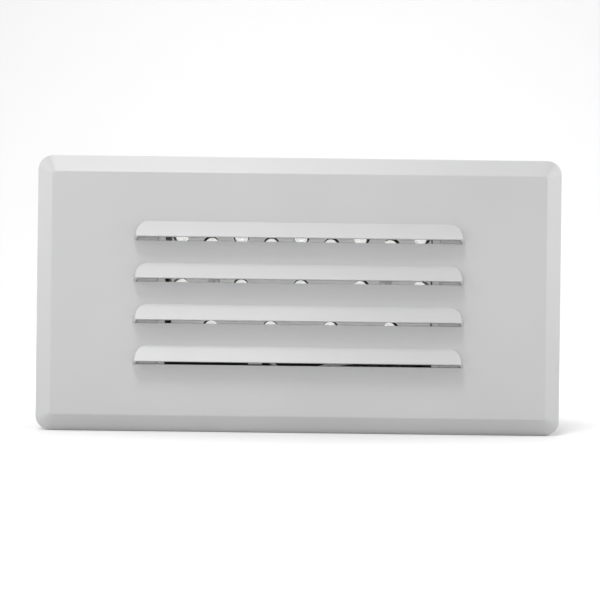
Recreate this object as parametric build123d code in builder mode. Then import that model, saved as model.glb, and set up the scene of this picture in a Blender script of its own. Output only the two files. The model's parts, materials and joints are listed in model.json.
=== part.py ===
"""Recessed step light: a louvred steel faceplate over a sheet-metal wall box with an LED board.

Millimetres. X runs right and Z up as the light is seen from the room, and Y runs into the wall.
The origin is the centre of the wall cut-out, in the plane of the finished wall.
"""
import os
from math import hypot, radians, tan

from build123d import *

os.makedirs("parts", exist_ok=True)

# ---------------------------------------------------------------- faceplate sizes
face_w = 216.0
face_h = 113.4
corner_r = 6.0
bevel_w = 7.0
bevel_d = 5.0
rim_d = 1.5
sheet = 1.2
inner_corner_r = 1.2
bevel_soft = 1.2
rim_soft = 0.5
face_front = -(rim_d + bevel_d)
face_back = face_front + sheet

# louvres: four pressed hoods that open downwards
louvre_len = 135.4
louvre_pitch = 16.87
louvre_count = 4
top_cut_z = 21.7
hood_h = 7.9
hood_end = 6.2
lip_out = 5.0
lip_up = 1.7
hood_sheet = 1.0
hood_draft = 0.3
overrun = 1.0
cut_heights = [top_cut_z - i * louvre_pitch for i in range(louvre_count)]

# foam gasket between the faceplate and the wall
gasket_w = 4.0
gasket_gap = 0.3

# ---------------------------------------------------------------- wall box sizes
plate_lap = 12.0
box_w = face_w - 2 * plate_lap
box_h = face_h - 2 * plate_lap
box_d = 70.0
box_sheet = 1.2
box_setback = 0.3
box_soft = 0.6
end_corner_r = 0.8
end_flange = 8.0
box_front = box_setback
box_rear = box_front + box_d
inside_back = box_rear - box_sheet
inside_h = box_h - 2 * box_sheet
inside_w = box_w - 2 * box_sheet

# conduit entry and knockouts of the same size
entry_r = 11.1
entry_inset = 24.0
entry_x = entry_inset - box_w / 2
entry_y = 40.0
knockout_x = -entry_x
groove_w = 0.5
groove_d = 0.6
weld_r = 2.0
weld_d = 0.25
weld_y = (12.6, 35.0, 57.4)

# ---------------------------------------------------------------- screws
fine_r = 1.5
fine_len = 16.0
fine_head_r = 2.7
fine_head_h = 2.0
box_screw_r = 1.75
box_screw_len = 8.0
side_screw_len = 6.0
driver_screw_len = 5.0
box_head_r = 3.3
box_head_h = 2.2
thread_gap = 0.05
hole_gap = 0.2
recess_reach = 0.58
recess_width = 0.3
recess_depth = 0.6
head_crown = 0.6
thread_lead_in = 0.3
neck_wall = 0.9
neck_len = 1.5

# ---------------------------------------------------------------- inner frame sizes
frame_gap = 0.5
frame_sheet = 1.0
frame_y = 12.0
frame_flange = 12.0
frame_margin = 2.0
window_gap = 0.7
window_top_inset = 6.5
window_bottom_inset = 9.5
window_top = inside_h / 2 - window_top_inset
window_bottom = window_bottom_inset - inside_h / 2
border_w = 3.4
border_soft = 0.8
ear_w = 12.0
ear_reach = 9.0
ear_gap = 0.4
ear_screw_inset = 5.0

# ---------------------------------------------------------------- LED array sizes
array_x = 1.0
led_pitch = 25.4
panel_y = 8.0
panel_sheet = 1.0
led_columns = 5
panel_edge = 3.7
panel_top_gap = 1.0
panel_bottom_gap = 11.0
panel_w = (led_columns - 1) * led_pitch + 2 * panel_edge
panel_top = window_top - panel_top_gap
panel_bottom = window_bottom + panel_bottom_gap
panel_h = panel_top - panel_bottom
panel_z = (panel_top + panel_bottom) / 2
panel_corner_r = 2.0
led_hole_r = 3.45
led_r = 2.5
led_rim_r = 2.9
led_rim_h = 1.0
led_h = 8.6
led_stand = 0.2
led_lead = 0.5
led_lead_gap = 2.54
led_lead_out = 1.3
led_wire_hole_r = 0.45
# heights of the LED rows, as shares of the height inside the box
led_row_shares = (0.28506, 0.24368, 0.04138, -0.16092)
led_row_heights = [share * inside_h for share in led_row_shares]
led_row_counts = (led_columns, led_columns - 1, led_columns, led_columns - 1)
panel_screw_x = 35.9
panel_screw_shift = 0.5

board_inset = 2.0
board_drop = 5.4
board_w = panel_w - 2 * board_inset
board_top = panel_top - board_inset
board_bottom = panel_bottom - board_drop
board_t = 1.6
spacer_len = 6.3
spacer_r = 3.0
standoff_len = 6.0
standoff_r = 3.2
board_y = panel_y + panel_sheet + spacer_len
board_back = board_y + board_t
led_base_y = board_y - led_stand
strap_y = board_back + standoff_len

strap_t = 1.2
strap_h = 20.0
strap_foot = 10.5
strap_foot_gap = 0.9
strap_rise = 3.5
strap_bend_r = 2.0
strap_rivet_inset = 5.5
strap_rivet_z = 6.0
rivet_r = 1.6
rivet_head_r = 2.9
rivet_head_h = 0.9
rivet_crown = 0.5
rivet_tail_h = 1.1

resistor_r = 1.15
resistor_len = 6.3
resistor_soft = 0.4
resistor_wire_r = 0.28
resistor_span = 10.16
resistor_stand = 0.3
resistor_rows = (-5.0, 13.0)
resistor_pitch = 38.1

# ---------------------------------------------------------------- board connector sizes
header_offset = 22.3
header_mouth = array_x - header_offset
header_len = 11.0
header_d = 5.6
header_h = 6.0
header_wall = 0.8
header_lift = 1.6
header_z = board_bottom + header_lift
plug_len = 5.9
plug_nose_gap = 0.15
plug_nose_len = 6.0
plug_soft = 0.4
wire_pitch = 2.0
pin_r = 0.32
pin_back = 2.2
pin_leg_gap = 1.6

# ---------------------------------------------------------------- driver sizes
driver_inset = 28.8
driver_gap = 1.5
driver_x = driver_inset - inside_w / 2
driver_len = 78.0
driver_h = 36.0
driver_z = driver_gap + driver_h / 2 - inside_h / 2
driver_d = 24.5
driver_wall = 1.6
driver_base_t = 2.0
driver_ear = 7.0
driver_ear_h = 14.0
driver_board_t = 1.6
driver_post_h = 3.4
driver_post_r = 2.2
driver_soft = 0.96
signal_spread = 1.95
mains_spread = 6.0
transformer_w = 20.0
transformer_h = 17.0
transformer_d = 13.0
transformer_gap = 2.5
transformer_bulge = 1.5
driver_cans = ((-24.0, 5.0, 14.5), (22.0, 4.0, 11.5))
can_soft = 0.6

# ---------------------------------------------------------------- leads and terminals
signal_r = 0.75
mains_r = 1.3
lead_gap = 0.1
# slack of the leads to the LED board: X from the plug or from the driver's end, distance behind
# the pin that each starts from, and Z from that pin
signal_straight = 2.2
positive_plug_slack = [(7.8, 0.1, -5.6), (16.9, 0.4, -6.9), (27.9, 1.4, -2.8), (37.9, 5.5, -0.6)]
negative_plug_slack = [(7.8, 0.1, -6.7), (16.9, 0.4, -8.0), (27.9, 1.4, -3.9), (37.9, 5.5, -2.3)]
positive_driver_slack = [(18.0, 17.0, 1.4), (18.5, 30.0, 3.4)]
negative_driver_slack = [(18.0, 17.0, -2.0), (21.9, 30.0, 0.0)]
positive_turn = 11.0
negative_turn = 12.7
# supply and ground leads: straight lengths out of the driver and the barrel, and drops below a nut
black_straight = 8.0
white_straight = 11.0
ground_straight = 5.5
black_drop = 9.5
white_drop = 5.0
white_low = 21.0
nut_mouth_r = 5.2
nut_tip_r = 3.3
nut_len = 19.0
nut_bore_r = 3.1
nut_bore_d = 9.0
nut_ribs = 12
nut_rib_start = 2.4
nut_rib_len = 13.3
nut_rib_w = 1.65
nut_rib_t = 0.83
nut_mouth_z = 4.0
black_nut_inset = 19.8
black_nut_y = 60.0
white_nut_inset = 7.8
white_nut_y = 57.5
black_nut = (black_nut_inset - inside_w / 2, black_nut_y)
white_nut = (white_nut_inset - inside_w / 2, white_nut_y)
ground_nut_run = 26.0
ground_nut_x = black_nut[0] + ground_nut_run
ground_nut_y = 60.0
ground_nut_z = 18.6
ground_inset = 74.8
ground_x = ground_inset - inside_w / 2
ground_z = 20.0
ground_r = 2.4
ground_len = 4.5
ground_head_r = 4.4
ground_head_h = 3.6
ground_washer_r = 5.4
ground_washer_h = 1.0
ring_r = 4.6
ring_t = 0.8
barrel_r = 2.0
barrel_len = 8.0
barrel_offset = 7.0
barrel_x = ground_x - barrel_offset
crimp_depth = 6.0
ground_soft = 0.55
ground_slot_w = 1.1
ground_slot_d = 1.2

# ---------------------------------------------------------------- spring clip sizes
arm_inset = 4.8
arm_x = inside_w / 2 - arm_inset
arm_t = 1.2
arm_h = 16.0
arm_reach = 29.0
arm_foot = 11.0
arm_bend_r = 1.5
arm_end_r = 4.0
leaf_t = 0.5
leaf_h = 12.0
leaf_front_y = -1.0
leaf_ramp_y = 7.0
leaf_apex_y = 15.0
leaf_fall_y = 23.0
leaf_end_y = 27.0
leaf_catch = 2.2
leaf_tail_gap = 0.3
leaf_rivet_y = 3.0
leaf_rivet_z = 3.4
leaf_rivet_r = 1.2
leaf_rivet_head_r = 2.04
leaf_rivet_head_h = 0.6
leaf_bends = (2.5, 1.5, 2.5)
clip_window_gap = 0.6
clip_window_h = 15.0

# ---------------------------------------------------------------- mounting bracket sizes
bracket_t = 1.2
bracket_gap = 0.3
bracket_h = 54.0
bracket_y = 12.7
bracket_reach = 9.7
bracket_len = 34.0
bracket_adjust = 6.0
bracket_notch_h = 22.0
bracket_notch = 3.2
bracket_bend_r = 1.6
slot_y = 30.0
slot_z = 19.0
side_screw_play = 0.1
nail_hole_r = 2.25
nail_reach = 5.2
nail_z = 19.0


quarter_turn = 90.0


def front_plane(y):
    """A sketch plane parallel to the wall, drawn as it is seen from the room."""
    return Plane(origin=(0, y, 0), x_dir=(1, 0, 0), z_dir=(0, -1, 0))


def side_plane(x):
    """A sketch plane square to X, with Y across and Z up."""
    return Plane.YZ.offset(x)


def top_plane(z):
    """A sketch plane square to Z, with X across and Y up."""
    return Plane.XY.offset(z)


def across(x, y, z, direction):
    """A plane at a point, with its own Z along the given direction and its X level."""
    return Plane(origin=(x, y, z), x_dir=(0, 1, 0) if direction[0] else (1, 0, 0), z_dir=direction)


# ---------------------------------------------------------------- faceplate
# The bevel keeps its thickness, so its inner face is set off square to the slope.
bevel_slope = hypot(bevel_w, bevel_d)
pocket_w_back = bevel_w + sheet * (bevel_slope - bevel_w) / bevel_d
pocket_rim_y = -(rim_d + bevel_d * sheet / bevel_w - sheet * bevel_slope / bevel_w)

# Each hood is a sloping sheet inside a drafted outline that is rounded at both upper corners, so its
# end walls grow from nothing at the crease to the full reach at the lip. Its hollow is the same
# shape, set in by the hood's thickness.
hood_reach = hood_h * lip_out / (hood_h - lip_up)
hollow_back = sheet + overrun
hollow_share = 1 - hood_sheet * hypot(1 / hood_h, 1 / hood_reach)
hollow_inset = hood_sheet * hypot(1, hood_draft)


def hood_outline(y, inset, height):
    """A hood's outline on the plane y: flat below, with a quarter ellipse at each end."""
    half = louvre_len / 2 - hood_end
    end_run = hood_end - inset
    with BuildSketch(front_plane(y), mode=Mode.PRIVATE) as outline:
        with BuildLine():
            Line((-half - end_run, 0), (half + end_run, 0))
            EllipticalCenterArc((half, 0), end_run, height, 0, arc_size=quarter_turn)
            Line((half, height), (-half, height))
            EllipticalCenterArc((-half, 0), end_run, height, quarter_turn, arc_size=quarter_turn)
        make_face()
    return outline.sketch.face()


def hood_block(base_y, tip_y, inset, outline_height, slope_height):
    """A wedge along X inside the outline, which draws in from the base to the tip."""
    with BuildPart() as block:
        base_inset = inset - hood_draft * (base_y - face_front)
        tip_inset = inset + hood_draft * (face_front - tip_y)
        loft(
            [
                hood_outline(base_y, base_inset, outline_height),
                hood_outline(tip_y, tip_inset, outline_height),
            ],
            ruled=True,
        )
        with BuildSketch(side_plane(-louvre_len)):
            Polygon((base_y, 0), (base_y, slope_height), (tip_y, 0), align=None)
        extrude(amount=2 * louvre_len, mode=Mode.INTERSECT)
    return block.part


with BuildPart() as hood:
    add(hood_block(face_front, face_front - hood_reach, 0, hood_h, hood_h))
    with BuildSketch(side_plane(-louvre_len)):
        Polygon(
            (face_front, 0),
            (face_front - 4 * lip_out, 4 * lip_up),
            (face_front - 4 * lip_out, -hood_h),
            (face_front, -hood_h),
            align=None,
        )
    extrude(amount=2 * louvre_len, mode=Mode.SUBTRACT)

hollow = hood_block(
    face_front + hollow_back,
    face_front - hood_reach * hollow_share,
    hollow_inset,
    hood_h - hood_sheet,
    hood_h * (hollow_share + hollow_back / hood_reach),
)

with BuildPart() as faceplate:
    with BuildSketch(front_plane(-rim_d)):
        RectangleRounded(face_w, face_h, corner_r)
    with BuildSketch(front_plane(face_front)):
        RectangleRounded(face_w - 2 * bevel_w, face_h - 2 * bevel_w, inner_corner_r)
    loft(ruled=True)
    with BuildSketch(front_plane(0)):
        RectangleRounded(face_w, face_h, corner_r)
    extrude(amount=rim_d)
    front_edges = faceplate.faces().sort_by(Axis.Y)[0].outer_wire().edges()
    fillet(front_edges, bevel_soft)
    fillet(faceplate.edges().filter_by_position(Axis.Y, -rim_d, -rim_d), rim_soft)
    with BuildSketch(front_plane(pocket_rim_y)):
        RectangleRounded(face_w - 2 * sheet, face_h - 2 * sheet, corner_r - sheet)
    with BuildSketch(front_plane(face_back)):
        RectangleRounded(face_w - 2 * pocket_w_back, face_h - 2 * pocket_w_back, inner_corner_r)
    loft(ruled=True, mode=Mode.SUBTRACT)
    with BuildSketch(front_plane(0)):
        RectangleRounded(face_w - 2 * sheet, face_h - 2 * sheet, corner_r - sheet)
    extrude(amount=-pocket_rim_y, mode=Mode.SUBTRACT)
    with Locations(*[(0, 0, height) for height in cut_heights]):
        add(hood.part)
        add(hollow, mode=Mode.SUBTRACT)
faceplate.part.label = "faceplate"
export_step(faceplate.part, "parts/faceplate.step")

with BuildPart() as face_gasket:
    gasket_out_w = face_w - 2 * (pocket_w_back + gasket_gap)
    gasket_out_h = face_h - 2 * (pocket_w_back + gasket_gap)
    with BuildSketch(front_plane(0)):
        RectangleRounded(gasket_out_w, gasket_out_h, inner_corner_r)
        Rectangle(gasket_out_w - 2 * gasket_w, gasket_out_h - 2 * gasket_w, mode=Mode.SUBTRACT)
    extrude(amount=-face_back)
face_gasket.part.label = "face_gasket"
export_step(face_gasket.part, "parts/face_gasket.step")


# ---------------------------------------------------------------- fasteners
def pan_screw(shank_r, length, head_r, head_h):
    """A pan-head screw with a cross recess: the head's seat is on z = 0 and the shank below it."""
    with BuildPart() as screw:
        with BuildSketch(Plane.XY.offset(-length)):
            Circle(shank_r)
        extrude(amount=length)
        with BuildSketch():
            Circle(head_r)
        extrude(amount=head_h)
        fillet(screw.faces().sort_by(Axis.Z)[-1].edges(), head_crown * head_h)
        chamfer(screw.faces().sort_by(Axis.Z)[0].edges(), thread_lead_in * shank_r)
        with BuildSketch(Plane.XY.offset(head_h)):
            Rectangle(2 * recess_reach * head_r, recess_width * head_r)
            Rectangle(recess_width * head_r, 2 * recess_reach * head_r)
        extrude(amount=-recess_depth * head_h, mode=Mode.SUBTRACT)
    return screw.part


def rivet(grip):
    """A blind rivet that clamps sheets of the given thickness, which lie from z = 0 down."""
    with BuildPart() as body:
        with BuildSketch(Plane.XY.offset(-grip)):
            Circle(rivet_r)
        extrude(amount=grip)
        with BuildSketch():
            Circle(rivet_head_r)
        extrude(amount=rivet_head_h)
        fillet(body.faces().sort_by(Axis.Z)[-1].edges(), rivet_crown * rivet_head_h)
        with BuildSketch(Plane.XY.offset(-grip)):
            Circle((rivet_r + rivet_head_r) / 2)
        extrude(amount=-rivet_tail_h)
    return body.part


# ---------------------------------------------------------------- wall box
# The frame's window goes round the LED panel, and the ears stand outside its border.
window_w = panel_w + 2 * (abs(array_x) + window_gap)
border_out_w = window_w + 2 * border_w
ear_y = frame_y + frame_sheet
ear_back = ear_y + box_sheet
ear_screw_z = inside_h / 2 - ear_screw_inset
ear_x = border_out_w / 2 + ear_gap + ear_w / 2
ear_screws = [(x, z) for x in (-ear_x, ear_x) for z in (-ear_screw_z, ear_screw_z)]
driver_screw_x = [driver_x - driver_ear / 2, driver_x + driver_len + driver_ear / 2]
weld_x = box_w / 2 - box_sheet - end_flange / 2

knockouts = {"box_top": [knockout_x], "box_bottom": [-knockout_x, knockout_x]}


def knockout_groove():
    """The scored ring of a knockout and the slot for prying it out."""
    Circle(entry_r)
    Circle(entry_r - groove_w, mode=Mode.SUBTRACT)
    SlotOverall(entry_r / 2, 2 * groove_w)


with BuildPart() as box_back:
    with BuildSketch(front_plane(box_rear)):
        Rectangle(box_w, inside_h)
        with Locations(*[(x, driver_z) for x in driver_screw_x]):
            Circle(box_screw_r + thread_gap, mode=Mode.SUBTRACT)
        with Locations((ground_x, ground_z)):
            Circle(ground_r + thread_gap, mode=Mode.SUBTRACT)
    extrude(amount=box_sheet)
    with BuildSketch(front_plane(box_rear)):
        with Locations((knockout_x, 0)):
            knockout_groove()
    extrude(amount=groove_d, mode=Mode.SUBTRACT)
box_back.part.label = "box_back"
export_step(box_back.part, "parts/box_back.step")

for side, name in ((1, "box_top"), (-1, "box_bottom")):
    with BuildPart() as box_plate:
        with BuildSketch(top_plane(side * box_h / 2)):
            with Locations((0, (box_front + box_rear) / 2)):
                Rectangle(box_w, box_d)
        extrude(amount=-side * box_sheet)
        outer_edges = box_plate.faces().sort_by(Axis.Z)[-1 if side > 0 else 0].edges()
        fillet(outer_edges.filter_by(Axis.X).sort_by(Axis.Y)[-1], box_soft)
        # lanced ears for the inner frame's screws, and the openings that they are bent out of
        with BuildSketch(front_plane(ear_y)):
            with Locations(*[(x, side * (box_h - box_sheet - ear_reach) / 2) for x in (-ear_x, ear_x)]):
                Rectangle(ear_w, ear_reach)
        extrude(amount=-box_sheet)
        with BuildSketch(top_plane(0)):
            with Locations(*[(x, ear_back + ear_reach / 2) for x in (-ear_x, ear_x)]):
                Rectangle(ear_w, ear_reach)
        extrude(amount=side * box_h, mode=Mode.SUBTRACT)
        with BuildSketch(front_plane(ear_back)):
            with Locations(*ear_screws):
                Circle(box_screw_r + thread_gap)
        extrude(amount=box_sheet, mode=Mode.SUBTRACT)
        # open conduit entry in the top, and scored knockouts of the same size
        if name == "box_top":
            with BuildSketch(top_plane(box_h / 2)):
                with Locations((entry_x, entry_y)):
                    Circle(entry_r)
            extrude(amount=-box_sheet, mode=Mode.SUBTRACT)
        with BuildSketch(top_plane(side * box_h / 2)):
            with Locations(*[(x, entry_y) for x in knockouts[name]]):
                knockout_groove()
        extrude(amount=-side * groove_d, mode=Mode.SUBTRACT)
        # spot-weld dimples over the end plates' flanges
        with BuildSketch(top_plane(side * box_h / 2)):
            with Locations(*[(x, y) for x in (-weld_x, weld_x) for y in weld_y]):
                Circle(weld_r)
        extrude(amount=-side * weld_d, mode=Mode.SUBTRACT)
    box_plate.part.label = name
    export_step(box_plate.part, f"parts/{name}.step")

# The clip windows are as long as the leaf spring's hump is at the wall of the box.
leaf_base_x = arm_x + arm_t
leaf_apex_x = inside_w / 2 + leaf_catch
hump_front = leaf_catch * (leaf_apex_y - leaf_ramp_y) / (leaf_apex_x - leaf_base_x - leaf_t)
hump_rear = leaf_catch * (leaf_fall_y - leaf_apex_y) / (leaf_apex_x - leaf_base_x - leaf_t)
window_front_y = leaf_apex_y - hump_front - clip_window_gap
window_rear_y = leaf_apex_y + hump_rear + clip_window_gap
side_screws = [(slot_y, -slot_z), (slot_y, slot_z)]

for side, hand in ((-1, "left"), (1, "right")):
    with BuildPart() as box_end:
        with BuildSketch(side_plane(side * box_w / 2)):
            with Locations(((box_front + inside_back) / 2, 0)):
                Rectangle(inside_back - box_front, inside_h)
        extrude(amount=-side * (box_sheet + end_flange))
        fillet(box_end.edges().filter_by(Axis.X).group_by(Axis.Y)[-1], end_corner_r)
        outer = box_end.faces().sort_by(Axis.X)[-1 if side > 0 else 0]
        bends = outer.edges().sort_by(Axis.Y)[1:]
        fillet(bends, box_sheet)
        with BuildSketch(side_plane(side * inside_w / 2)):
            with Locations(((box_front + inside_back - box_sheet) / 2, 0)):
                Rectangle(inside_back - box_sheet - box_front, inside_h - 2 * box_sheet)
        extrude(amount=-side * end_flange, mode=Mode.SUBTRACT)
        with BuildSketch(side_plane(side * inside_w / 2)):
            with Locations(*side_screws):
                Circle(box_screw_r + thread_gap + neck_wall)
        extrude(amount=-side * neck_len)
        with BuildSketch(side_plane(side * box_w / 2)):
            with Locations(*side_screws):
                Circle(box_screw_r + thread_gap)
        extrude(amount=-side * (box_sheet + 2 * neck_len), mode=Mode.SUBTRACT)
        with BuildSketch(side_plane(side * box_w / 2)):
            with Locations(((window_front_y + window_rear_y) / 2, 0)):
                Rectangle(window_rear_y - window_front_y, clip_window_h)
        extrude(amount=-side * 2 * box_sheet, mode=Mode.SUBTRACT)
    box_end.part.label = f"box_end_{hand}"
    export_step(box_end.part, f"parts/box_end_{hand}.step")

# ---------------------------------------------------------------- inner frame and strap
window_h = window_top - window_bottom
window_z = (window_top + window_bottom) / 2
border_out_h = window_h + 2 * border_w
frame_w = 2 * (ear_x + ear_w / 2 + frame_margin)
strap_foot_x = border_out_w / 2 + strap_foot_gap
strap_rise_x = strap_foot_x - strap_rise
strap_half = strap_foot_x + strap_foot
strap_rivet_x = strap_half - strap_rivet_inset
strap_rivets = [
    (x, panel_z + z)
    for x in (-strap_rivet_x, strap_rivet_x)
    for z in (-strap_rivet_z, strap_rivet_z)
]
panel_screws_at = [
    (panel_screw_shift - panel_screw_x, panel_z),
    (panel_screw_shift + panel_screw_x, panel_z),
]

with BuildPart() as inner_frame:
    with BuildSketch(front_plane(frame_y)):
        Rectangle(frame_w, inside_h - 2 * frame_gap)
    extrude(amount=-frame_flange)
    fillet(inner_frame.edges().filter_by(Axis.Z).group_by(Axis.Y)[0], frame_sheet)
    with BuildSketch(front_plane(ear_y)):
        Rectangle(frame_w - 2 * frame_sheet, inside_h)
    extrude(amount=-frame_flange, mode=Mode.SUBTRACT)
    with BuildSketch(front_plane(panel_y)):
        with Locations((0, window_z)):
            RectangleRounded(border_out_w, border_out_h, border_w)
    extrude(amount=panel_y - ear_y)
    border_edges = inner_frame.faces().sort_by(Axis.Y)[0].outer_wire().edges()
    fillet(border_edges, border_soft)
    with BuildSketch(front_plane(panel_y + frame_sheet)):
        with Locations((0, window_z)):
            RectangleRounded(
                border_out_w - 2 * frame_sheet, border_out_h - 2 * frame_sheet, border_w - frame_sheet
            )
    extrude(amount=panel_y - ear_y, mode=Mode.SUBTRACT)
    with BuildSketch(front_plane(panel_y)):
        with Locations((0, window_z)):
            RectangleRounded(window_w, window_h, frame_sheet)
    extrude(amount=-2 * frame_sheet, mode=Mode.SUBTRACT)
    with BuildSketch(front_plane(ear_y)):
        with Locations(*ear_screws):
            Circle(box_screw_r + hole_gap)
        with Locations(*strap_rivets):
            Circle(rivet_r + thread_gap)
    extrude(amount=2 * frame_sheet, mode=Mode.SUBTRACT)
inner_frame.part.label = "inner_frame"
export_step(inner_frame.part, "parts/inner_frame.step")

with BuildPart() as frame_screws:
    with Locations(*[across(x, frame_y, z, (0, -1, 0)) for x, z in ear_screws]):
        add(pan_screw(box_screw_r, box_screw_len, box_head_r, box_head_h))
frame_screws.part.label = "frame_screws"
export_step(frame_screws.part, "parts/frame_screws.step")

stub_r = (standoff_r + fine_r) / 2
with BuildPart() as cross_strap:
    foot_line = ear_y + strap_t / 2
    middle_line = strap_y + strap_t / 2
    with BuildSketch(top_plane(panel_z - strap_h / 2)):
        with BuildLine():
            FilletPolyline(
                (-strap_half, foot_line),
                (-strap_foot_x, foot_line),
                (-strap_rise_x, middle_line),
                (strap_rise_x, middle_line),
                (strap_foot_x, foot_line),
                (strap_half, foot_line),
                radius=strap_bend_r,
            )
        trace(line_width=strap_t)
    extrude(amount=strap_h)
    with BuildSketch(front_plane(ear_y + strap_t)):
        with Locations(*strap_rivets):
            Circle(rivet_r + thread_gap)
    extrude(amount=2 * strap_t, mode=Mode.SUBTRACT)
    with BuildSketch(front_plane(strap_y + strap_t)):
        with Locations(*panel_screws_at):
            Circle(stub_r + thread_gap)
    extrude(amount=2 * strap_t, mode=Mode.SUBTRACT)
cross_strap.part.label = "cross_strap"
export_step(cross_strap.part, "parts/cross_strap.step")

with BuildPart() as strap_rivet_set:
    with Locations(*[across(x, frame_y, z, (0, -1, 0)) for x, z in strap_rivets]):
        add(rivet(frame_sheet + strap_t))
strap_rivet_set.part.label = "strap_rivets"
export_step(strap_rivet_set.part, "parts/strap_rivets.step")

# ---------------------------------------------------------------- LED array
with BuildPart() as standoffs:
    with BuildSketch(front_plane(board_back)):
        with Locations(*panel_screws_at):
            RegularPolygon(standoff_r, 6)
    extrude(amount=-standoff_len)
    with BuildSketch(front_plane(strap_y)):
        with Locations(*panel_screws_at):
            Circle(stub_r)
    extrude(amount=-strap_t)
    with BuildSketch(front_plane(board_back)):
        with Locations(*panel_screws_at):
            Circle(fine_r + thread_gap)
    extrude(amount=-2 * standoff_len, mode=Mode.SUBTRACT)
standoffs.part.label = "standoffs"
export_step(standoffs.part, "parts/standoffs.step")

with BuildPart() as panel_spacers:
    with BuildSketch(front_plane(panel_y + panel_sheet)):
        with Locations(*panel_screws_at):
            Circle(spacer_r)
            Circle(fine_r + hole_gap, mode=Mode.SUBTRACT)
    extrude(amount=-spacer_len)
panel_spacers.part.label = "panel_spacers"
export_step(panel_spacers.part, "parts/panel_spacers.step")

with BuildPart() as panel_screws:
    with Locations(*[across(x, panel_y, z, (0, -1, 0)) for x, z in panel_screws_at]):
        add(pan_screw(fine_r, fine_len, fine_head_r, fine_head_h))
panel_screws.part.label = "panel_screws"
export_step(panel_screws.part, "parts/panel_screws.step")

led_rows = [
    [(array_x + led_pitch * (i - (count - 1) / 2), height) for i in range(count)]
    for height, count in zip(led_row_heights, led_row_counts)
]
led_places = [place for row in led_rows for place in row]

with BuildPart() as led_panel:
    with BuildSketch(front_plane(panel_y)):
        with Locations((array_x, panel_z)):
            RectangleRounded(panel_w, panel_h, panel_corner_r)
        with Locations(*led_places):
            Circle(led_hole_r, mode=Mode.SUBTRACT)
        with Locations(*panel_screws_at):
            Circle(fine_r + hole_gap, mode=Mode.SUBTRACT)
    extrude(amount=-panel_sheet)
led_panel.part.label = "led_panel"
export_step(led_panel.part, "parts/led_panel.step")

with BuildPart() as led:
    with BuildSketch():
        Circle(led_rim_r)
        with Locations((led_r + led_rim_r, 0)):
            Rectangle(2 * led_rim_r, 2 * led_rim_r, mode=Mode.SUBTRACT)
    extrude(amount=led_rim_h)
    with BuildSketch():
        Circle(led_r)
    extrude(amount=led_h - led_r)
    with Locations((0, 0, led_h - led_r)):
        Sphere(led_r)
    with BuildSketch():
        with Locations((-led_lead_gap / 2, 0), (led_lead_gap / 2, 0)):
            Rectangle(led_lead, led_lead)
    extrude(amount=-(led_stand + board_t + led_lead_out))

for number, row in enumerate(led_rows, start=1):
    with BuildPart() as led_row:
        with Locations(*[across(x, led_base_y, z, (0, -1, 0)) for x, z in row]):
            add(led.part)
    led_row.part.label = f"led_row_{number}"
    export_step(led_row.part, f"parts/led_row_{number}.step")

resistor_places = [
    (array_x + resistor_pitch * i, height) for height in resistor_rows for i in (-1, 0, 1)
]
pin_depths = [board_back + header_d / 2 - wire_pitch / 2, board_back + header_d / 2 + wire_pitch / 2]
header_x = header_mouth - header_len
header_floor = header_mouth - plug_nose_len - plug_nose_gap
pin_legs = [header_floor - pin_leg_gap, header_floor - pin_leg_gap - wire_pitch]

with BuildPart() as circuit_board:
    with BuildSketch(front_plane(board_y)):
        with Locations((array_x, (board_top + board_bottom) / 2)):
            RectangleRounded(board_w, board_top - board_bottom, panel_corner_r)
        with Locations(*led_places):
            with Locations((-led_lead_gap / 2, 0), (led_lead_gap / 2, 0)):
                Circle(led_wire_hole_r, mode=Mode.SUBTRACT)
        with Locations(*panel_screws_at):
            Circle(fine_r + hole_gap, mode=Mode.SUBTRACT)
        with Locations(*resistor_places):
            with Locations((-resistor_span / 2, 0), (resistor_span / 2, 0)):
                Circle(resistor_wire_r + lead_gap, mode=Mode.SUBTRACT)
        with Locations(*[(x, header_z) for x in pin_legs]):
            Circle(pin_r + lead_gap, mode=Mode.SUBTRACT)
    extrude(amount=-board_t)
circuit_board.part.label = "circuit_board"
export_step(circuit_board.part, "parts/circuit_board.step")

with BuildPart() as resistor:
    resistor_y = board_back + resistor_stand + resistor_r
    with BuildLine() as wire_path:
        FilletPolyline(
            (-resistor_span / 2, board_y - resistor_stand, 0),
            (-resistor_span / 2, resistor_y, 0),
            (resistor_span / 2, resistor_y, 0),
            (resistor_span / 2, board_y - resistor_stand, 0),
            radius=resistor_r / 2,
        )
    with BuildSketch(Plane(origin=wire_path.line @ 0, z_dir=wire_path.line % 0)):
        Circle(resistor_wire_r)
    sweep(path=wire_path.line)
    with BuildSketch(side_plane(-resistor_len / 2)):
        with Locations((resistor_y, 0)):
            Circle(resistor_r)
    extrude(amount=resistor_len)
    fillet(resistor.edges().filter_by(GeomType.CIRCLE).sort_by(SortBy.RADIUS)[-2:], resistor_soft)

with BuildPart() as resistors:
    with Locations(*[(x, 0, z) for x, z in resistor_places]):
        add(resistor.part)
resistors.part.label = "resistors"
export_step(resistors.part, "parts/resistors.step")

# ---------------------------------------------------------------- board connector
header_y = board_back + header_d / 2
nose_h = header_h - 2 * (header_wall + plug_nose_gap)
nose_d = header_d - 2 * (header_wall + plug_nose_gap)

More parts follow.
